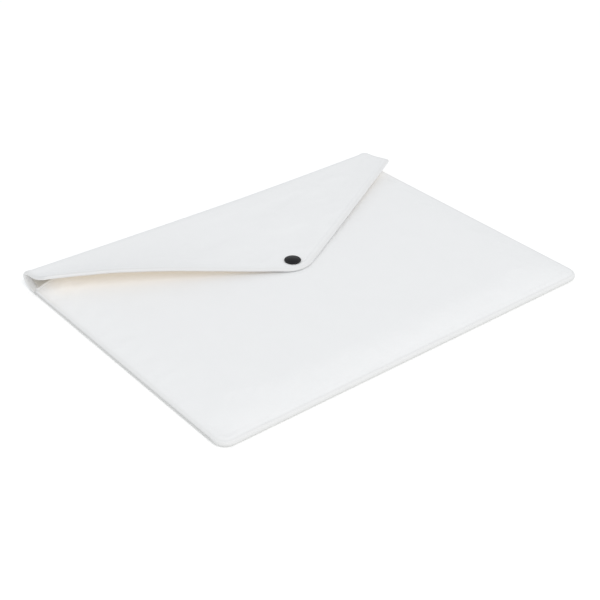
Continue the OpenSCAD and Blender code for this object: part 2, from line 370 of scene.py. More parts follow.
def settle(cloth, pinned, pressure, limit, frames=20):
    """Lets a middle surface settle under a little air pressure, held by its pinned vertices."""
    mesh = bpy.data.meshes.new("settling")
    mesh.from_pydata([tuple(p) for p in cloth.middle], [], [list(f) for f in cloth.faces])
    held = bpy.data.objects.new("settling", mesh)
    bpy.context.scene.collection.objects.link(held)
    group = held.vertex_groups.new(name="held")
    for weight in sorted(set(np.round(pinned, 2)) - {0.0}):
        group.add([int(i) for i in np.flatnonzero(np.round(pinned, 2) == weight)], float(weight), "REPLACE")
    fabric = held.modifiers.new("fabric", "CLOTH")
    fabric.settings.vertex_group_mass = "held"
    fabric.settings.quality = 6
    fabric.settings.mass = 0.25
    fabric.settings.tension_stiffness = 12
    fabric.settings.compression_stiffness = 12
    fabric.settings.shear_stiffness = 4
    fabric.settings.bending_stiffness = 0.15
    fabric.settings.shrink_min = -0.004
    fabric.settings.use_pressure = True
    fabric.settings.uniform_pressure_force = pressure
    fabric.settings.effector_weights.gravity = 0
    fabric.collision_settings.use_collision = False
    fabric.point_cache.frame_end = frames
    for step in range(1, frames + 1):
        bpy.context.scene.frame_set(step)
    settled = held.evaluated_get(bpy.context.evaluated_depsgraph_get()).to_mesh()
    points = np.zeros(len(settled.vertices) * 3, np.float32)
    settled.vertices.foreach_get("co", points)
    bpy.context.scene.frame_set(1)
    rise = (points.reshape(-1, 3) - cloth.middle)[:, 2]
    rise = limit * np.tanh(rise / limit)
    cloth.middle = cloth.middle + np.stack([0 * rise, 0 * rise, rise], axis=1)
    cloth.normals = normals_of(cloth.middle, cloth.faces)
    bpy.data.objects.remove(held)


def from_snap(points):
    return np.hypot(points[:, 0], points[:, 1] - SNAP_Y)


def puckers(points, distance, height):
    """Small irregular puckers that fade away from a seam."""
    wander = np.array([noise.noise(Vector((p[0] * 95, p[1] * 95, 1.7))) for p in points])
    soft = np.array([noise.noise(Vector((p[0] * 21, p[1] * 21, 6.1))) for p in points])
    return height * (wander * spread(distance, 5 * MM, 9 * MM) * 1.6 + soft)


# ---- materials ----

class Nodes:
    """Short calls for building a material's nodes."""

    def __init__(self, name):
        self.material = bpy.data.materials.get(name) or bpy.data.materials.new(name)
        self.material.use_nodes = True
        self.tree = self.material.node_tree
        self.tree.nodes.clear()
        self.out = self.add("OutputMaterial")
        self.shader = self.add("BsdfPrincipled")
        self.join(self.shader.outputs[0], self.out.inputs[0])

    def add(self, kind, **settings):
        node = self.tree.nodes.new("ShaderNode" + kind)
        for key, value in settings.items():
            setattr(node, key, value)
        return node

    def join(self, a, b):
        self.tree.links.new(a, b)

    def value(self, operation, a, b=0.5, c=0.0):
        node = self.add("Math", operation=operation)
        for socket, given in zip(node.inputs, (a, b, c)):
            if isinstance(given, (int, float)):
                socket.default_value = given
            else:
                self.join(given, socket)
        return node.outputs[0]

    def noise(self, place, scale, detail=3.0, rough=0.5):
        node = self.add("TexNoise")
        self.join(place, node.inputs["Vector"])
        node.inputs["Scale"].default_value = scale
        node.inputs["Detail"].default_value = detail
        node.inputs["Roughness"].default_value = rough
        return node.outputs["Fac"]

    def mix(self, share, a, b):
        node = self.add("Mix", data_type="RGBA")
        self.join(share, node.inputs["Factor"])
        for socket, given in ((node.inputs[6], a), (node.inputs[7], b)):
            if isinstance(given, (tuple, list)):
                socket.default_value = (*given[:3], 1)
            else:
                self.join(given, socket)
        return node.outputs[2]

    def bump(self, height, distance, strength=1.0):
        node = self.add("Bump")
        node.inputs["Distance"].default_value = distance
        node.inputs["Strength"].default_value = strength
        self.join(height, node.inputs["Height"])
        self.join(node.outputs[0], self.shader.inputs["Normal"])


def woven(name, base, edge_shade_colour, pitch, relief, sheen):
    """A close plain weave that follows the piece's own fabric map, in metres."""
    n = Nodes(name)
    fabric_map = n.add("UVMap", uv_map="fabric").outputs[0]
    axes = n.add("SeparateXYZ")
    n.join(fabric_map, axes.inputs[0])
    turn = 2 * math.pi / pitch
    slub = n.noise(fabric_map, 900, 2)
    wander = n.value("MULTIPLY", slub, 1.4)
    warp = n.value("SINE", n.value("MULTIPLY_ADD", axes.outputs[0], turn, wander))
    weft = n.value("SINE", n.value("MULTIPLY_ADD", axes.outputs[1], turn, wander))
    crossing = n.value("MULTIPLY", warp, weft)
    ribs = n.value("MULTIPLY_ADD", crossing, 0.5, 0.5)
    fibre = n.noise(fabric_map, 5200, 3, 0.65)
    mottle = n.noise(fabric_map, 46, 4, 0.55)
    height = n.value("MULTIPLY_ADD", ribs, 0.75, n.value("MULTIPLY", fibre, 0.35))
    # Painted shade: the colour darkens where the weave dips, and also varies at random with the mottling
    deep = tuple(c * 0.955 for c in base)
    tone = n.mix(n.value("MULTIPLY_ADD", ribs, 0.45, n.value("MULTIPLY", mottle, 0.55)), deep, tuple(base))
    # Painted shade: near and under the edges the colour is mixed towards the given edge colour
    edge = n.add("Attribute", attribute_name="edge").outputs["Fac"]
    tone = n.mix(n.value("MULTIPLY", edge, 0.75), tone, tuple(edge_shade_colour))
    n.join(tone, n.shader.inputs["Base Color"])
    n.join(n.value("MULTIPLY_ADD", fibre, 0.12, 0.78), n.shader.inputs["Roughness"])
    n.shader.inputs["Sheen Weight"].default_value = sheen
    n.shader.inputs["Sheen Roughness"].default_value = 0.45
    n.shader.inputs["Specular IOR Level"].default_value = 0.25
    n.bump(height, relief)
    return n.material


def twisted_thread(name, base):
    """Polyester thread with its two plies twisted about each other."""
    n = Nodes(name)
    place = n.add("TexCoord").outputs["Object"]
    axes = n.add("SeparateXYZ")
    n.join(place, axes.inputs[0])
    slant = n.value("ADD", axes.outputs[1], n.value("MULTIPLY", axes.outputs[2], 1.6))
    plies = n.value("SINE", n.value("MULTIPLY", slant, 2 * math.pi / (0.55 * MM)))
    share = n.value("MULTIPLY_ADD", plies, 0.5, 0.5)
    # Painted shade: the colour darkens in the grooves between the plies
    n.join(n.mix(share, tuple(c * 0.86 for c in base), tuple(base)), n.shader.inputs["Base Color"])
    n.join(n.value("MULTIPLY_ADD", n.noise(place, 4000), 0.2, 0.42), n.shader.inputs["Roughness"])
    n.shader.inputs["Sheen Weight"].default_value = 0.2
    n.bump(share, 0.05 * MM)
    return n.material


def enamel(name, base):
    """Black stove enamel: a faint orange peel, small scuffs and a hard coat."""
    n = Nodes(name)
    place = n.add("TexCoord").outputs["Object"]
    peel = n.noise(place, 1500, 2)
    scuffs = n.noise(place, 5200, 6, 0.8)
    worn = n.value("POWER", scuffs, 5.0)
    n.join(n.mix(worn, tuple(base), (0.05, 0.05, 0.052)), n.shader.inputs["Base Color"])
    n.join(n.value("MULTIPLY_ADD", worn, 0.5, 0.3), n.shader.inputs["Roughness"])
    n.shader.inputs["Specular IOR Level"].default_value = 0.14
    n.shader.inputs["Coat Weight"].default_value = 0.04
    n.shader.inputs["Coat Roughness"].default_value = 0.2
    n.bump(peel, 0.02 * MM)
    return n.material


def plated(name, base):
    """Nickel plate over turned metal: fine rings about the snap's axis, and a little tarnish."""
    n = Nodes(name)
    place = n.add("TexCoord").outputs["Object"]
    axis = n.add("Mapping")
    axis.inputs["Location"].default_value = (0, -SNAP_Y, 0)
    n.join(place, axis.inputs["Vector"])
    parts = n.add("SeparateXYZ")
    n.join(axis.outputs[0], parts.inputs[0])
    squares = [n.value("POWER", parts.outputs[i], 2.0) for i in (0, 1)]
    radius = n.value("SQRT", n.value("ADD", *squares))
    rings = n.value("SINE", n.value("MULTIPLY", radius, 2 * math.pi / (0.09 * MM)))
    tarnish = n.noise(place, 420, 4)
    n.join(n.mix(tarnish, tuple(c * 0.86 for c in base), tuple(base)), n.shader.inputs["Base Color"])
    n.shader.inputs["Metallic"].default_value = 1.0
    n.join(n.value("MULTIPLY_ADD", tarnish, 0.2, 0.16), n.shader.inputs["Roughness"])
    n.bump(rings, 0.003 * MM)
    return n.material


def cover_fabric():
    c = bpy.context.scene.case_colours
    return woven("white close-weave cover", c.cover, c.edge, 0.42 * MM, 0.035 * MM, 0.12)


def lining_fabric():
    c = bpy.context.scene.case_colours
    return woven("off-white plain lining", c.lining, c.lining, 0.56 * MM, 0.05 * MM, 0.05)


# Strength of the flap lining's glow: painted light in place of light that soaks through the flap to its
# lining
LINING_GLOW_STRENGTH = 0.3


def glowing_lining_fabric():
    """The flap's thin lining: it glows a faint amber, painted light that stands in for light coming through
    the flap.
    """
    c = bpy.context.scene.case_colours
    material = woven("off-white thin lining", c.lining, c.lining, 0.56 * MM, 0.05 * MM, 0.05)
    shader = material.node_tree.nodes["Principled BSDF"]
    shader.inputs["Emission Color"].default_value = (*c.lining_glow, 1)
    shader.inputs["Emission Strength"].default_value = LINING_GLOW_STRENGTH
    return material


# ---- the flap and the loop that carries it ----

FLAP_START = 112 * MM
LOOP_START = 108.5 * MM
EDGE_STEPS = 6
LOOP_ROWS = (13, 12)


def edge_insets(further):
    """Distances in from a turned edge: close together round the edge, and wider further in."""
    angles = np.linspace(0, math.pi / 2, EDGE_STEPS)
    return list(HALF_T * (1 - np.cos(angles))) + [d * MM for d in further]


def loop_height(x):
    """Height of the loop's top along the case."""
    s = bpy.context.scene.case_shape
    to_left = np.clip((s.loop_low_x - x) / (s.loop_low_x + HALF_W), 0, 1)
    to_right = np.clip((x - s.loop_low_x) / (HALF_W - s.loop_low_x), 0, 1)
    return (s.loop_middle + (s.loop_left - s.loop_middle) * to_left ** 1.4
            + (s.loop_right - s.loop_middle) * to_right ** 1.7)


def flap_slope():
    """Slope of the flap's long edges, and where they would meet without the round tip."""
    s = bpy.context.scene.case_shape
    rise = BACK_Y - s.flap_end - TIP_Y - s.flap_tip
    slope = math.atan2(rise, HALF_W) + math.asin(s.flap_tip / math.hypot(HALF_W, rise))
    return slope, BACK_Y - s.flap_end - HALF_W * math.tan(slope)


def flap_edge_height(x):
    """Height of the flap's long edges: a strong curl to the left, a weak one to the right."""
    s = bpy.context.scene.case_shape
    u = np.clip(-x / s.curl_reach, 0, 1)
    left = 0.7 * u * (1 - u) ** 2 + u * u * (3 - 2 * u)
    right = np.clip(x / HALF_W, 0, 1) ** 1.4
    return FLAP_Z + s.lift_left * left + s.lift_right * right


def flap_height(points):
    """Height of the flap's top face."""
    x, y = points[:, 0], points[:, 1]
    slope, apex = flap_slope()
    edge_y = np.maximum(apex + np.abs(x) * math.tan(slope), TIP_Y)
    share = np.clip((FLAP_START - y) / np.maximum(FLAP_START - edge_y, 1 * MM), 0, 1.05)
    power = 1.45 - 0.25 * x / HALF_W
    top = loop_height(x)
    height = top + (flap_edge_height(x) - top) * share ** power
    seat = np.exp(-(from_snap(points) / (13 * MM)) ** 4)
    return height * (1 - seat) + FLAP_Z * seat


def loop_rows(x):
    """Middle surface of the loop at each x, from the back panel up to the flap."""
    top = loop_height(x)
    low = top * 0.56
    rows = []
    reach = BACK_Y - HALF_T - LOOP_START
    for angle in np.linspace(0, math.pi / 2, LOOP_ROWS[0]):
        rows.append((LOOP_START + reach * math.sin(angle), HALF_T + (low - HALF_T) * (1 - math.cos(angle))))
    reach = BACK_Y - HALF_T - FLAP_START
    for angle in np.linspace(0, math.pi / 2, LOOP_ROWS[1])[1:]:
        rise = (top - HALF_T - low) * math.sin(angle)
        rows.append((FLAP_START + reach * math.cos(angle), low + rise))
    return [np.stack([x, np.full_like(x, y) if np.isscalar(y) else y, z + 0 * x], axis=1) for y, z in rows]


def flap_cloth():
    """The flap and the loop as one sheet, so that both have the same vertices where they meet."""
    s = bpy.context.scene.case_shape
    slope, apex = flap_slope()
    corner_y = BACK_Y - s.flap_end
    corners = [(-HALF_W, FLAP_START), (-HALF_W, corner_y), (0, apex),
               (HALF_W, corner_y), (HALF_W, FLAP_START)]
    outline = Outline(corners, [s.flap_corner, s.flap_tip, s.flap_corner], 2.6 * MM, (8, 16, 8))
    border = s.border / MM
    insets = edge_insets([1.6, 2.4, 3.4, 4.4, border - 0.45, border, border + 0.45, 6.6, 7.8, 9.6, 12])
    places, distance, faces, top_row = cut_panel(outline, insets, FLAP_START, 3.4 * MM)
    height = flap_height(places) - HALF_T + puckers(places, distance, s.pucker)
    flap_points = np.column_stack([places, height])
    x = places[top_row][:, 0]
    rows = loop_rows(x)[:-1]
    flap_points[top_row, 2] = loop_height(x) - HALF_T
    start = len(flap_points)
    across = len(x)
    index = [list(range(start + r * across, start + (r + 1) * across)) for r in range(len(rows))]
    index.append(top_row)
    loop_faces = []
    for low, high in zip(index, index[1:]):
        for i in range(across - 1):
            loop_faces.append((low[i], high[i], high[i + 1], low[i + 1]))
    points = np.concatenate([flap_points] + rows)
    steps = [np.linalg.norm(b - a, axis=1) for a, b in zip(rows, rows[1:] + [flap_points[top_row]])]
    run = np.cumsum(steps[::-1], axis=0)[::-1]
    uv = [places] + [np.column_stack([x, FLAP_START + along]) for along in run]
    edge = np.concatenate([distance] + [HALF_W - np.abs(x)] * len(rows))
    cloth = Cloth(points, faces + loop_faces, np.concatenate(uv), edge)
    return cloth, faces, loop_faces, index


# ---- the body ----

BODY_INSETS = [d * MM for d in (0, 0.7, 1.5, 2.4, 3.4, 4.4, 5.6, 7, 9, 11.5, 14.5, 18, 22, 26, 30)]
FRONT_FILL, BACK_FILL = 4.2 * MM, 5 * MM
CROWN_POWER = 2.3


def body_outline(top_y, out=0.0):
    corner = bpy.context.scene.case_shape.near_corner - BEAD
    side, near = SEAM_X + out, NEAR_Y - out
    corners = [(-side, top_y), (-side, near), (side, near), (side, top_y)]
    return Outline(corners, [corner, corner], 3 * MM, (10, 10))


def crowned(x, y):
    """Share of the front panel's full rise: nothing at its sewn edges, all of it past the slope."""
    crown = bpy.context.scene.case_shape.crown
    share = 1.0
    for inside in (SEAM_X - x, SEAM_X + x, y - NEAR_Y):
        share = share * (1 - (1 - np.clip(inside / crown, 0, 1)) ** CROWN_POWER)
    return share


def front_cloth():
    """The front panel's middle surface, crowned by what the pocket holds open."""
    s = bpy.context.scene.case_shape
    places, distance, faces, _ = cut_panel(body_outline(HEM_Y), BODY_INSETS, HEM_Y, FRONT_FILL)
    crown = FRONT_Z - RIM_Z
    rise = crowned(places[:, 0], places[:, 1])
    seat = np.exp(-(from_snap(places) / (12 * MM)) ** 4)
    wave = puckers(places, distance, s.pucker) * ease(distance / (2 * MM)) * (1 - seat)
    middle = np.column_stack([places, RIM_Z - HALF_T + crown * rise * ease(distance / (6 * MM)) + wave])
    return Cloth(middle, faces, places, distance + BEAD)


def body_ridge(distance):
    """The ridge that the turned seam raises just inside the body's edges."""
    inside = distance - BEAD
    return 0.36 * MM * (ease(inside / (1.9 * MM)) - ease((inside - 2.6 * MM) / (2.6 * MM)))


def bead_section(groove, closing):
    """The rounded edge where the two panels meet: how far out, and how high."""
    angles = np.linspace(-math.pi / 2, math.pi / 2, 25)
    out = BEAD * np.abs(np.cos(angles)) ** (1 - 0.25 * groove)
    out = out - groove * 0.95 * MM * spread(angles, 0, 0.3)
    high = PANEL_T + PANEL_T * np.sin(angles)
    high = np.where(high > PANEL_T, PANEL_T + (high - PANEL_T) * closing, high)
    return np.maximum(out, 0), high


def inside_out(points, faces):
    t = triangles_of(faces)
    volume = np.einsum("ij,ij->", points[t[:, 0]], np.cross(points[t[:, 1]], points[t[:, 2]]))
    return volume < 0


def sweep_pieces(rows, cuts, material, round_section=False):
    """Closed tubes from rows of section points, cut at the given rows: (name, first, last).

    Unless the section is round, its last side is a hidden wall against a panel, and isn't shaded
    with the rest."""
    count = len(rows[0])
    points = np.concatenate(rows)
    after = [(i + 1) % count for i in range(count)]
    quads = [[r * count + i, r * count + after[i], (r + 1) * count + after[i], (r + 1) * count + i]
             for r in range(len(rows) - 1) for i in range(count)]
    ends = [list(range(count))[::-1], list(range(len(points) - count, len(points)))]
    turned = inside_out(points, quads + ends)
    walls = np.tile(np.arange(count) == count - 1, len(rows) - 1) & (not round_section)
    outer = [q for q, wall in zip(quads, walls) if not wall]
    whole = normals_of(points, outer) * (-1 if turned else 1)
    run = np.concatenate([[0], np.cumsum([np.linalg.norm(b[0] - a[0]) for a, b in zip(rows, rows[1:])])])
    around = np.concatenate([[0], np.cumsum(np.linalg.norm(np.diff(rows[len(rows) // 2], axis=0), axis=1))])
    made = []
    for name, first, last in cuts:
        faces = [[v - first * count for v in q] for q in quads[first * count:last * count]]
        caps = [list(range(count))[::-1], [(last - first) * count + i for i in range(count)]]
        if turned:
            faces, caps = [f[::-1] for f in faces], [c[::-1] for c in caps]
        hidden = walls[first * count:last * count]
        normals = [OWN_NORMAL if wall else whole[v + first * count]
                   for f, wall in zip(faces, hidden) for v in f]
        normals += [OWN_NORMAL] * (2 * count)
        part = points[first * count:(last + 1) * count]
        uv = [(around[i], run[r]) for r in range(first, last + 1) for i in range(count)]
        # Painted shade: the rounded edges darken on their lower side, which faces the floor
        shade_below = np.clip(1.25 - 0.5 * part[:, 2] / PANEL_T, 0, 1)
        made.append(mesh_piece(name, part, faces + caps, normals, uv, shade_below, material))
    return made


# ---- repeated and swept pieces, made by Geometry Nodes ----

class Tree:
    """Short calls for building a Geometry Nodes tree with named inputs."""

    def __init__(self, name):
        self.tree = bpy.data.node_groups.new(name, "GeometryNodeTree")
        self.tree.interface.new_socket("Geometry", in_out="OUTPUT", socket_type="NodeSocketGeometry")
        self.tree.interface.new_socket("Geometry", in_out="INPUT", socket_type="NodeSocketGeometry")
        self.inputs = self.tree.nodes.new("NodeGroupInput")
        self.result = self.tree.nodes.new("NodeGroupOutput")
        self.ids = {}

    def input(self, name, kind="NodeSocketFloat"):
        socket = self.tree.interface.new_socket(name, in_out="INPUT", socket_type=kind)
        self.ids[name] = socket.identifier
        return self.inputs.outputs[name]

    def add(self, kind, **settings):
        node = self.tree.nodes.new(kind)
        for key, value in settings.items():
            setattr(node, key, value)
        return node

    def join(self, a, b):
        self.tree.links.new(a, b)

    def end(self, geometry_socket):
        realize = self.add("GeometryNodeRealizeInstances")
        paint = self.add("GeometryNodeSetMaterial")
        self.join(geometry_socket, realize.inputs[0])
        self.join(realize.outputs[0], paint.inputs["Geometry"])
        self.join(self.input("Material", "NodeSocketMaterial"), paint.inputs["Material"])
        self.join(paint.outputs[0], self.result.inputs[0])
        return self


def grown(name, tree, path, values, material):
    """Runs a tree on a path of points, and returns the plain mesh that it makes."""
    line = bpy.data.meshes.new("path")
    line.from_pydata([tuple(p) for p in path], [(i, i + 1) for i in range(len(path) - 1)], [])
    carrier = bpy.data.objects.new("path", line)
    bpy.context.scene.collection.objects.link(carrier)
    modifier = carrier.modifiers.new("make", "NODES")
    modifier.node_group = tree.tree
    for key, value in values.items():
        modifier[tree.ids[key]] = value
    modifier[tree.ids["Material"]] = material
    graph = bpy.context.evaluated_depsgraph_get()
    mesh = bpy.data.meshes.new_from_object(carrier.evaluated_get(graph), depsgraph=graph)
    bpy.data.objects.remove(carrier)
    if not mesh.polygons:
        raise RuntimeError(f"{name}: the tree made no faces")
    mesh.polygons.foreach_set("use_smooth", [True] * len(mesh.polygons))
    mesh.materials.clear()
    mesh.materials.append(material)
    mesh.polygons.foreach_set("material_index", [0] * len(mesh.polygons))
    piece = bpy.data.objects.new(name, mesh)
    bpy.context.scene.collection.objects.link(piece)
    return piece


def stitch_tree():
    """Stitches along a path: each one a small capsule with its own slight turn."""
    t = Tree("Stitches along a seam")
    pitch, size, thick = t.input("Pitch"), t.input("Stitch length"), t.input("Thread radius")
    seed = t.input("Seed", "NodeSocketInt")
    curve = t.add("GeometryNodeMeshToCurve")
    t.join(t.inputs.outputs[0], curve.inputs[0])
    places = t.add("GeometryNodeCurveToPoints", mode="LENGTH")
    t.join(curve.outputs[0], places.inputs["Curve"])
    t.join(pitch, places.inputs["Length"])
    ball = t.add("GeometryNodeMeshUVSphere")
    ball.inputs["Segments"].default_value = 8
    ball.inputs["Rings"].default_value = 6
    ball.inputs["Radius"].default_value = 1.0
    shape = t.add("ShaderNodeCombineXYZ")
    half = t.add("ShaderNodeMath", operation="MULTIPLY")
    half.inputs[1].default_value = 0.5
    t.join(size, half.inputs[0])
    for source, axis in ((thick, 0), (thick, 1), (half.outputs[0], 2)):
        t.join(source, shape.inputs[axis])
    sized = t.add("GeometryNodeTransform")
    t.join(ball.outputs["Mesh"], sized.inputs["Geometry"])
    t.join(shape.outputs[0], sized.inputs["Scale"])
    lean = t.add("FunctionNodeRandomValue", data_type="FLOAT_VECTOR")
    lean.inputs["Min"].default_value = (-0.09, -0.09, 0)
    lean.inputs["Max"].default_value = (0.09, 0.09, 0)
    t.join(seed, lean.inputs["Seed"])
    turned = t.add("FunctionNodeRotateRotation", rotation_space="LOCAL")
    t.join(places.outputs["Rotation"], turned.inputs["Rotation"])
    t.join(lean.outputs["Value"], turned.inputs["Rotate By"])
    rows = t.add("GeometryNodeInstanceOnPoints")
    t.join(places.outputs["Points"], rows.inputs["Points"])
    t.join(sized.outputs[0], rows.inputs["Instance"])
    t.join(turned.outputs[0], rows.inputs["Rotation"])
    return t.end(rows.outputs[0])


def hem_tree():
    """A turned hem: a flat tube with round edges, run along the mouth."""
    t = Tree("Turned hem")
    width, height = t.input("Width"), t.input("Height")
    curve = t.add("GeometryNodeMeshToCurve")
    t.join(t.inputs.outputs[0], curve.inputs[0])
    level = t.add("GeometryNodeSetCurveNormal", mode="Z_UP")
    t.join(curve.outputs[0], level.inputs["Curve"])
    section = t.add("GeometryNodeCurvePrimitiveQuadrilateral")
    t.join(width, section.inputs["Width"])
    t.join(height, section.inputs["Height"])
    round_it = t.add("GeometryNodeFilletCurve", mode="POLY")
    round_it.inputs["Count"].default_value = 5
    radius = t.add("ShaderNodeMath", operation="MULTIPLY")
    radius.inputs[1].default_value = 0.46
    t.join(height, radius.inputs[0])
    t.join(section.outputs[0], round_it.inputs["Curve"])
    t.join(radius.outputs[0], round_it.inputs["Radius"])
    sweep = t.add("GeometryNodeCurveToMesh")
    sweep.inputs["Fill Caps"].default_value = True
    t.join(level.outputs[0], sweep.inputs["Curve"])
    t.join(round_it.outputs[0], sweep.inputs["Profile Curve"])
    return t.end(sweep.outputs[0])


# ---- turned metal pieces ----

def lathe(name, profile, material, segments=96):
    """A closed turned piece about the snap's axis.

    profile holds (radius, height) pairs. One that doesn't start on the axis is joined to its own end."""
    rings, points, faces = [], [], []
    for radius, z in profile:
        if radius < 1e-9:
            rings.append([len(points)])
            points.append((0, SNAP_Y, z))
            continue
        rings.append(list(range(len(points), len(points) + segments)))
        for i in range(segments):
            a = 2 * math.pi * i / segments
            points.append((radius * math.cos(a), SNAP_Y + radius * math.sin(a), z))
    closed = profile[0][0] > 1e-9
    pairs = list(zip(rings, rings[1:])) + ([(rings[-1], rings[0])] if closed else [])
    for a, b in pairs:
        for i in range(segments):
            j = (i + 1) % segments
            corner = [a[i % len(a)], b[i % len(b)], b[j % len(b)], a[j % len(a)]]
            faces.append([v for k, v in enumerate(corner) if v != corner[k - 1]])
    piece = mesh_piece(name, np.array(points, float), faces, None, np.zeros((len(points), 2)),
                       np.zeros(len(points)), material)
    outwards(piece)
    piece.data.set_sharp_from_angle(angle=math.radians(38))
    return piece


def outwards(piece):
    """Turns a closed piece's faces outwards."""
    mesh = bmesh.new()
    mesh.from_mesh(piece.data)
    bmesh.ops.recalc_face_normals(mesh, faces=mesh.faces)
    if mesh.calc_volume(signed=True) < 0:
        bmesh.ops.reverse_faces(mesh, faces=mesh.faces)
    mesh.to_mesh(piece.data)
    mesh.free()


def rolled(radius, z, roll, start, stop, steps=7):
    """Points of a small rolled edge, from angle start to angle stop in degrees."""
    return [(radius + roll * math.cos(math.radians(a)), z + roll * math.sin(math.radians(a)))
            for a in np.linspace(start, stop, steps)]


def node_span(node):
    """A snap part's radius, lowest and highest point."""
    low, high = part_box(node)
    return (high.x - low.x) / 2, low.z, high.z


# ---- operators: one for each piece or group of like pieces ----

def finish_piece(piece, body, slot, *nodes):
    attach(piece, body)
    if nodes:
        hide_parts(*nodes)
    return piece


SKIN = 0.3 * MM


class CASE_OT_front(bpy.types.Operator):
    """Make the front panel and its lining"""
    bl_idname = "case.front_panel"
    bl_label = "Front Panel"

    def execute(self, context):
        cloth = front_cloth()
        rim = 1 - ease(cloth.distance / (BEAD + 3 * MM) - 0.4)
        mouth = spread(cloth.middle[:, 1], HEM_Y, 5 * MM)
        seat = np.exp(-(from_snap(cloth.middle) / (9 * MM)) ** 4)
        held = np.clip(np.maximum.reduce([rim * 2, mouth, seat]), 0, 1)
        settle(cloth, held, 0.8, 0.35 * MM)
        ridge = body_ridge(cloth.distance)
        flange = node_span("snap_stud")[0]
        dimple = 0.75 * MM * (1 - ease((from_snap(cloth.middle) - flange + 0.2 * MM) / (1.6 * MM)))
        over = HALF_T + ridge - dimple
        cover = cloth.piece("front_panel", cloth.faces, over, 0 * over - HALF_T + SKIN, cover_fabric())
        lining = cloth.piece("front_panel_lining", cloth.faces, 0 * over - HALF_T + 2 * SKIN,
                             0 * over - HALF_T, lining_fabric())
        finish_piece(cover, "case", "cover", "front_cover", "front_padding")
        finish_piece(lining, "case", "lining", "front_lining")
        return {"FINISHED"}


class CASE_OT_back(bpy.types.Operator):
    """Make the back panel and its lining"""
    bl_idname = "case.back_panel"
    bl_label = "Back Panel"

    def execute(self, context):
        outline = body_outline(LOOP_START)
        places, distance, faces, _ = cut_panel(outline, BODY_INSETS, LOOP_START, BACK_FILL)
        middle = np.column_stack([places, np.full(len(places), HALF_T)])
        cloth = Cloth(middle, faces, places, distance + BEAD)
        soft = np.abs(puckers(places, distance, 0.12 * MM)) * ease(distance / (6 * MM))
        soft = soft * ease((LOOP_START - places[:, 1]) / (12 * MM))
        flat = np.full(len(places), HALF_T)
        cover = cloth.piece("back_panel", faces, flat - SKIN, soft - HALF_T, cover_fabric())
        lining = cloth.piece("back_panel_lining", faces, flat, flat - 2 * SKIN, lining_fabric())
        finish_piece(cover, "case", "cover", "back_cover", "back_padding")
        finish_piece(lining, "case", "lining", "back_lining")
        return {"FINISHED"}


class CASE_OT_edges(bpy.types.Operator):
    """Make the near fold and the two side seams"""
    bl_idname = "case.body_edges"
    bl_label = "Near Fold and Side Seams"

    def execute(self, context):
        outline = body_outline(MOUTH_Y)
        path = outline.points(0)
        along = np.gradient(path, axis=0)
        along /= np.linalg.norm(along, axis=1)[:, None]
        out = np.stack([along[:, 1], -along[:, 0]], axis=1)
        corner = context.scene.case_shape.near_corner - BEAD
        above = path[:, 1] - NEAR_Y
        groove = ease((above - 0.25 * corner) / (1.6 * corner))
        near_mouth = np.clip((path[:, 1] - MOUTH_Y + 2.4 * MM) / (2.4 * MM), 0, 1)
        closing = np.maximum(np.sqrt(1 - near_mouth ** 2), 0.12)
        rows = []
        for place, away, deep, shut in zip(path, out, groove, closing):
            reach, high = bead_section(deep, shut)
            rows.append(np.column_stack([place[0] + away[0] * reach, place[1] + away[1] * reach, high]))
        straight = np.flatnonzero(above > corner - 0.01 * MM)
        left_end = int(straight[straight < len(path) // 2][-1])
        right_start = int(straight[straight > len(path) // 2][0])
        cuts = [("left_side_seam_edge", 0, left_end), ("near_fold", left_end, right_start),
                ("right_side_seam_edge", right_start, len(path) - 1)]
        left, near, right = sweep_pieces(rows, cuts, cover_fabric())
        finish_piece(left, "case", "cover", "left_side_seam")
        finish_piece(near, "case", "cover", "bottom_fold")
        finish_piece(right, "case", "cover", "right_side_seam")
        self.single_edges()
        return {"FINISHED"}

    def single_edges(self):
        """Past the mouth only the back panel's own turned edge goes on to the loop."""
        angles = np.linspace(-math.pi / 2, math.pi / 2, 13)
        for side, name in ((-1, "left"), (1, "right")):
            rows = []
            for y in np.linspace(MOUTH_Y - 1.5 * MM, LOOP_START, 4)[::side]:
                x = side * (HALF_W - HALF_T + HALF_T * np.cos(angles))
                x = np.concatenate([[side * SEAM_X], x, [side * SEAM_X]])
                z = np.concatenate([[0], HALF_T + HALF_T * np.sin(angles), [PANEL_T]])
                rows.append(np.column_stack([x, np.full_like(x, y), z]))
            piece, = sweep_pieces(rows, [(f"{name}_back_edge", 0, len(rows) - 1)], cover_fabric())
            finish_piece(piece, "case", "cover")


class CASE_OT_mouth(bpy.types.Operator):
    """Make the turned hem along the pocket's mouth"""
    bl_idname = "case.mouth_hem"
    bl_label = "Mouth Hem"

    def execute(self, context):
        width = MOUTH_Y - HEM_Y
        x = np.linspace(-SEAM_X, SEAM_X, 121)
        inside = SEAM_X - np.abs(x)
        rise = crowned(x, HEM_Y) * ease(inside / (6 * MM))
        z = RIM_Z - HALF_T + (FRONT_Z - RIM_Z) * rise
        path = np.column_stack([x, np.full_like(x, (HEM_Y + MOUTH_Y) / 2), z])
        values = {"Width": width + 0.2 * MM, "Height": PANEL_T + 0.25 * MM}
        hem = grown("mouth_hem_roll", hem_tree(), path, values, cover_fabric())
        outwards(hem)
        finish_piece(hem, "case", "cover", "mouth_hem")
        return {"FINISHED"}


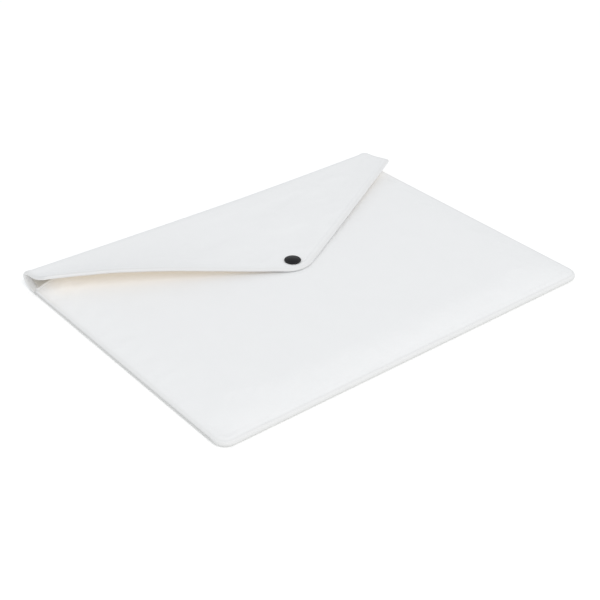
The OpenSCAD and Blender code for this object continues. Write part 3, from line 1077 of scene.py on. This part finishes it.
class CASE_OT_stitches(bpy.types.Operator):
    """Sew the two side seams"""
    bl_idname = "case.seam_stitches"
    bl_label = "Seam Stitches"

    def execute(self, context):
        s, c = context.scene.case_stitching, context.scene.case_colours
        tree = stitch_tree()
        thread = twisted_thread("white polyester thread", c.thread)
        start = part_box("left_seam_thread")[0].y
        values = {"Pitch": s.pitch, "Stitch length": s.stitch,
                  "Thread radius": s.thread / 2, "Seed": s.seed}
        for side, name in ((-1, "left"), (1, "right")):
            x = side * (SEAM_X + BEAD - 0.95 * MM - s.thread / 4)
            path = [(x, start + 4 * MM, PANEL_T), (x, MOUTH_Y - 4 * MM, PANEL_T)]
            row = grown(f"{name}_seam_stitches", tree, path, values, thread)
            finish_piece(row, "case", "thread", f"{name}_seam_thread")
        return {"FINISHED"}


class CASE_OT_flap(bpy.types.Operator):
    """Make the flap with its border and lining, and the loop that carries it"""
    bl_idname = "case.flap"
    bl_label = "Flap and Loop"

    def execute(self, context):
        s = context.scene.case_shape
        cloth, flap, loop, index = flap_cloth()
        held = np.ones(len(cloth.middle))
        on_flap = np.unique([v for f in flap for v in f])
        free = ease((cloth.distance[on_flap] - 6 * MM) / (12 * MM))
        free *= ease((FLAP_START - cloth.middle[on_flap, 1]) / (14 * MM))
        free *= ease((from_snap(cloth.middle[on_flap]) - 9 * MM) / (9 * MM))
        held[on_flap] = 1 - free
        settle(cloth, held, 0.5, 0.32 * MM)

        rise = np.full(len(cloth.middle), s.border_rise)
        for r, row in enumerate(index[:-1]):
            rise[row] *= ease(np.array(r / (len(index) - 1)) * 2.2)
        thick = turned_edge(cloth.distance, rise)
        cap_r, socket_r = node_span("snap_cap")[0], node_span("snap_socket")[0]
        away = from_snap(cloth.middle)
        over = thick - 0.35 * MM * (1 - ease((away - cap_r + 0.9 * MM) / (1.7 * MM)))
        seat_under = 0.6 * MM * (1 - ease((away - socket_r + 0.2 * MM) / (1.4 * MM)))
        under = -thick + seat_under
        split = s.border + 0.2 * MM
        lined = cloth.distance > split
        inner = np.where(lined, under + SKIN, under)

        border = [f for f in flap if max(cloth.distance[v] for v in f) <= s.border + 0.01 * MM]
        edge_faces = set(border)
        field = [f for f in flap if f not in edge_faces]
        lined_field = [f for f in field if min(cloth.distance[v] for v in f) > split]
        lined_loop = [f for f in loop if min(cloth.distance[v] for v in f) > split]
        cover, lining = cover_fabric(), glowing_lining_fabric()
        panel = cloth.piece("flap_panel", field, over, inner, cover)
        roll = cloth.piece("flap_border_roll", border, over, under, cover)
        inside = cloth.piece("flap_lining_sheet", lined_field, under + 2 * SKIN, under, lining)
        skin = cloth.piece("fold_skin", loop, over, inner, cover)
        skin_inside = cloth.piece("fold_lining_skin", lined_loop, under + 2 * SKIN, under, lining_fabric())
        finish_piece(panel, "flap", "cover", "flap_cover", "flap_padding")
        finish_piece(roll, "flap", "cover", "flap_border")
        finish_piece(inside, "flap", "lining", "flap_lining")
        self.bend(skin, "cover", "fold_lower_cover", "fold_lower_padding", "fold_upper_cover",
                  "fold_upper_padding")
        self.bend(skin_inside, "lining", "fold_lower_lining", "fold_upper_lining")
        return {"FINISHED"}

    @staticmethod
    def bend(piece, slot, *nodes):
        """The loop meets the case at its foot and the flap at its top. Its place is baked into its mesh, it
        is left on no body, and the model's parts that it replaces are hidden.
        """
        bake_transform(piece)
        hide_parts(*nodes)


class CASE_OT_snap(bpy.types.Operator):
    """Make the snap fastener's cap, socket, spring, stud and post"""
    bl_idname = "case.snap"
    bl_label = "Snap Fastener"

    def execute(self, context):
        c = context.scene.case_colours
        black, metal = enamel("black enamel", c.cap), plated("nickel plate", c.metal)
        finish_piece(self.cap(black), "flap", "snap_black", "snap_cap")
        finish_piece(self.socket(metal), "flap", "snap_steel", "snap_socket")
        finish_piece(self.spring(metal), "flap", "snap_steel", "snap_spring")
        finish_piece(self.stud(metal), "case", "snap_steel", "snap_stud")
        finish_piece(self.post(metal), "case", "snap_steel", "snap_post")
        return {"FINISHED"}

    @staticmethod
    def cap(material):
        """A low dome with a rolled rim, on its rivet."""
        radius, foot, top = node_span("snap_cap")
        roll = 0.42 * MM
        dome_r = radius - 2 * roll
        base = FLAP_Z - 0.1 * MM
        dome = [(dome_r * u, FLAP_Z + 0.75 * MM + (top - FLAP_Z - 0.75 * MM) * (1 - u ** 2.2))
                for u in np.linspace(0, 1, 16)]
        rim = rolled(radius - roll, FLAP_Z + roll, roll, 112, -90, 12)
        shank = 1.2 * MM
        rivet = [(radius - 1.4 * MM, base), (shank, base), (shank, foot), (0, foot)]
        return lathe("snap_cap_dome", dome + rim + rivet, material)

    @staticmethod
    def socket(material):
        """A pressed ring with rolled lips, open below for the stud's head."""
        radius, low, top = node_span("snap_socket")
        bore, roll = 2.55 * MM, 0.3 * MM
        outer = rolled(radius - roll, low + roll, roll, -90, 60, 8)
        lip = rolled(bore + roll, low + roll, roll, 180, 270, 6)
        shoulder = [(radius - 0.5 * MM, top - 0.4 * MM), (radius - 1.1 * MM, top)]
        well = [(1.3 * MM, top), (1.3 * MM, top - 0.35 * MM), (bore, top - 0.35 * MM)]
        dish = [(bore + 1.1 * MM, low + 0.12 * MM), (radius - 1.2 * MM, low + 0.12 * MM)]
        return lathe("snap_socket_ring", outer + shoulder + well + lip + dish, material)

    @staticmethod
    def spring(material):
        """A split ring of spring wire."""
        low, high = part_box("snap_spring")
        wire = (high.z - low.z) / 2
        radius = (high.x - low.x) / 2 - wire
        height = (high.z + low.z) / 2
        sides, steps, gap = 12, 72, math.radians(24)
        rows = []
        for a in np.linspace(gap / 2, 2 * math.pi - gap / 2, steps) - math.pi / 2:
            around = np.linspace(0, 2 * math.pi, sides + 1)[:-1]
            reach = radius + wire * np.cos(around)
            rows.append(np.column_stack([reach * math.cos(a), SNAP_Y + reach * math.sin(a),
                                         height + wire * np.sin(around)]))
        piece, = sweep_pieces(rows, [("snap_spring_ring", 0, steps - 1)], material, True)
        return piece

    @staticmethod
    def stud(material):
        """A flange with a rolled rim, and a round head on a narrower neck, riveted hollow."""
        radius, low, top = node_span("snap_stud")
        head, neck, roll = 2.4 * MM, 2.15 * MM, 0.26 * MM
        rim = rolled(radius - roll, low + roll, roll, -90, 100, 9)
        rise = top - FRONT_Z
        dish = [(radius - 0.9 * MM, FRONT_Z - 0.12 * MM), (neck + 0.6 * MM, FRONT_Z - 0.12 * MM),
                (neck + 0.15 * MM, FRONT_Z), (neck, FRONT_Z + 0.2 * rise)]
        side = [(head - 0.05 * MM, FRONT_Z + 0.45 * rise), (head, FRONT_Z + 0.65 * rise)]
        crown = rolled(head - 0.35 * MM, top - 0.35 * MM, 0.35 * MM, 0, 90, 6)
        hollow = [(1.75 * MM, top - 0.1 * MM), (1.3 * MM, top - 0.5 * MM), (1.3 * MM, low)]
        return lathe("snap_stud_button", rim + dish + side + crown + hollow, material)

    @staticmethod
    def post(material):
        """A flat flange inside the pocket, and the shank that is riveted over in the stud."""
        radius, low, top = node_span("snap_post")
        flange, roll, shank = 0.6 * MM, 0.24 * MM, 1.2 * MM
        rim = rolled(radius - roll, low + roll, roll, -90, 0, 5)
        shoulder = [(radius - 0.1 * MM, low + flange), (shank + 0.2 * MM, low + flange),
                    (shank, low + flange + 0.2 * MM)]
        end = [(shank, top - 0.25 * MM), (shank - 0.25 * MM, top), (0, top)]
        return lathe("snap_post_flange", [(0, low + 0.1 * MM), (1.6 * MM, low + 0.1 * MM), (1.9 * MM, low)]
                     + rim + shoulder + end, material)


KEY_PLACE, KEY_SIZE, KEY_TINT = (-0.7, -3.2, 3.65), 2.8, (1.0, 0.975, 0.945)
FLOOR_REACH, FLOOR_DROP = 40.0, 0.05 * MM


class CASE_OT_stage(bpy.types.Operator):
    """Make the floor, the lights and the camera"""
    bl_idname = "case.stage"
    bl_label = "Stage"

    def execute(self, context):
        s = context.scene.case_stage
        self.camera(s)
        self.floor()
        self.sky(s.sky)
        self.lamp("key", KEY_PLACE, KEY_SIZE, s.key, KEY_TINT)
        context.scene.view_settings.view_transform = "Standard"
        return {"FINISHED"}

    @staticmethod
    def camera(s):
        data = bpy.data.cameras.new("camera")
        data.lens, data.sensor_width = s.lens, 36.0
        camera = bpy.data.objects.new("camera", data)
        bpy.context.scene.collection.objects.link(camera)
        across = Vector((math.cos(s.turn), math.sin(s.turn), 0))
        ahead = Vector((-math.sin(s.turn) * math.cos(s.pitch), math.cos(s.turn) * math.cos(s.pitch),
                        -math.sin(s.pitch)))
        up = across.cross(ahead)
        right = across * math.cos(s.roll) + up * math.sin(s.roll)
        top = up * math.cos(s.roll) - across * math.sin(s.roll)
        axes = Matrix((right, top, -ahead)).transposed().to_4x4()
        camera.matrix_world = Matrix.Translation(Vector(s.place)) @ axes
        bpy.context.scene.camera = camera

    @staticmethod
    def floor():
        mesh = bpy.data.meshes.new("floor")
        r, z = FLOOR_REACH, -FLOOR_DROP
        mesh.from_pydata([(-r, -r, z), (r, -r, z), (r, r, z), (-r, r, z)], [], [(0, 1, 2, 3)])
        floor = bpy.data.objects.new("floor", mesh)
        bpy.context.scene.collection.objects.link(floor)
        n = Nodes("white paper floor")
        place = n.add("TexCoord").outputs["Object"]
        tone = n.mix(n.noise(place, 8), (0.955, 0.955, 0.955), (0.975, 0.975, 0.975))
        n.join(tone, n.shader.inputs["Base Color"])
        n.shader.inputs["Roughness"].default_value = 0.95
        n.shader.inputs["Specular IOR Level"].default_value = 0.0
        n.shader.inputs["Emission Color"].default_value = (1, 1, 1, 1)
        n.shader.inputs["Emission Strength"].default_value = 0.14
        mesh.materials.append(n.material)

    @staticmethod
    def sky(strength):
        world = bpy.data.worlds.new("soft white room")
        bpy.context.scene.world = world
        world.use_nodes = True
        background = world.node_tree.nodes["Background"]
        background.inputs["Color"].default_value = (0.965, 0.985, 1.0, 1)
        background.inputs["Strength"].default_value = strength

    @staticmethod
    def lamp(name, place, size, power, tint):
        data = bpy.data.lights.new(name, "AREA")
        data.shape, data.size, data.energy, data.color = "DISK", size, power, tint
        lamp = bpy.data.objects.new(name, data)
        lamp.location = place
        lamp.rotation_euler = (-Vector(place)).to_track_quat("-Z", "Y").to_euler()
        bpy.context.scene.collection.objects.link(lamp)


class CASE_PT_panel(bpy.types.Panel):
    """Sizes, colours and the pieces, in the order in which they are made"""
    bl_label = "Portfolio Case"
    bl_idname = "CASE_PT_panel"
    bl_space_type = "VIEW_3D"
    bl_region_type = "UI"
    bl_category = "Portfolio Case"

    def draw(self, context):
        for operator in OPERATORS:
            self.layout.operator(operator.bl_idname)
        for name in SETTINGS:
            box = self.layout.box()
            group = getattr(context.scene, name)
            for key in group.__annotations__:
                box.prop(group, key)


SETTINGS = {
    "case_shape": CaseShape, "case_stitching": CaseStitching,
    "case_colours": CaseColours, "case_stage": CaseStage,
}
OPERATORS = (CASE_OT_stage, CASE_OT_back, CASE_OT_front, CASE_OT_edges, CASE_OT_mouth,
             CASE_OT_stitches, CASE_OT_flap, CASE_OT_snap)


def register():
    for made in (*SETTINGS.values(), *OPERATORS, CASE_PT_panel):
        bpy.utils.register_class(made)
    for name, group in SETTINGS.items():
        setattr(bpy.types.Scene, name, PointerProperty(type=group))


def unregister():
    for name in SETTINGS:
        delattr(bpy.types.Scene, name)
    for made in reversed((*SETTINGS.values(), *OPERATORS, CASE_PT_panel)):
        bpy.utils.unregister_class(made)


def main():
    register()
    for operator in OPERATORS:
        group, name = operator.bl_idname.split(".")
        if getattr(getattr(bpy.ops, group), name)() != {"FINISHED"}:
            raise RuntimeError(f"{operator.bl_label} was not made")


if __name__ == "__main__":
    main()
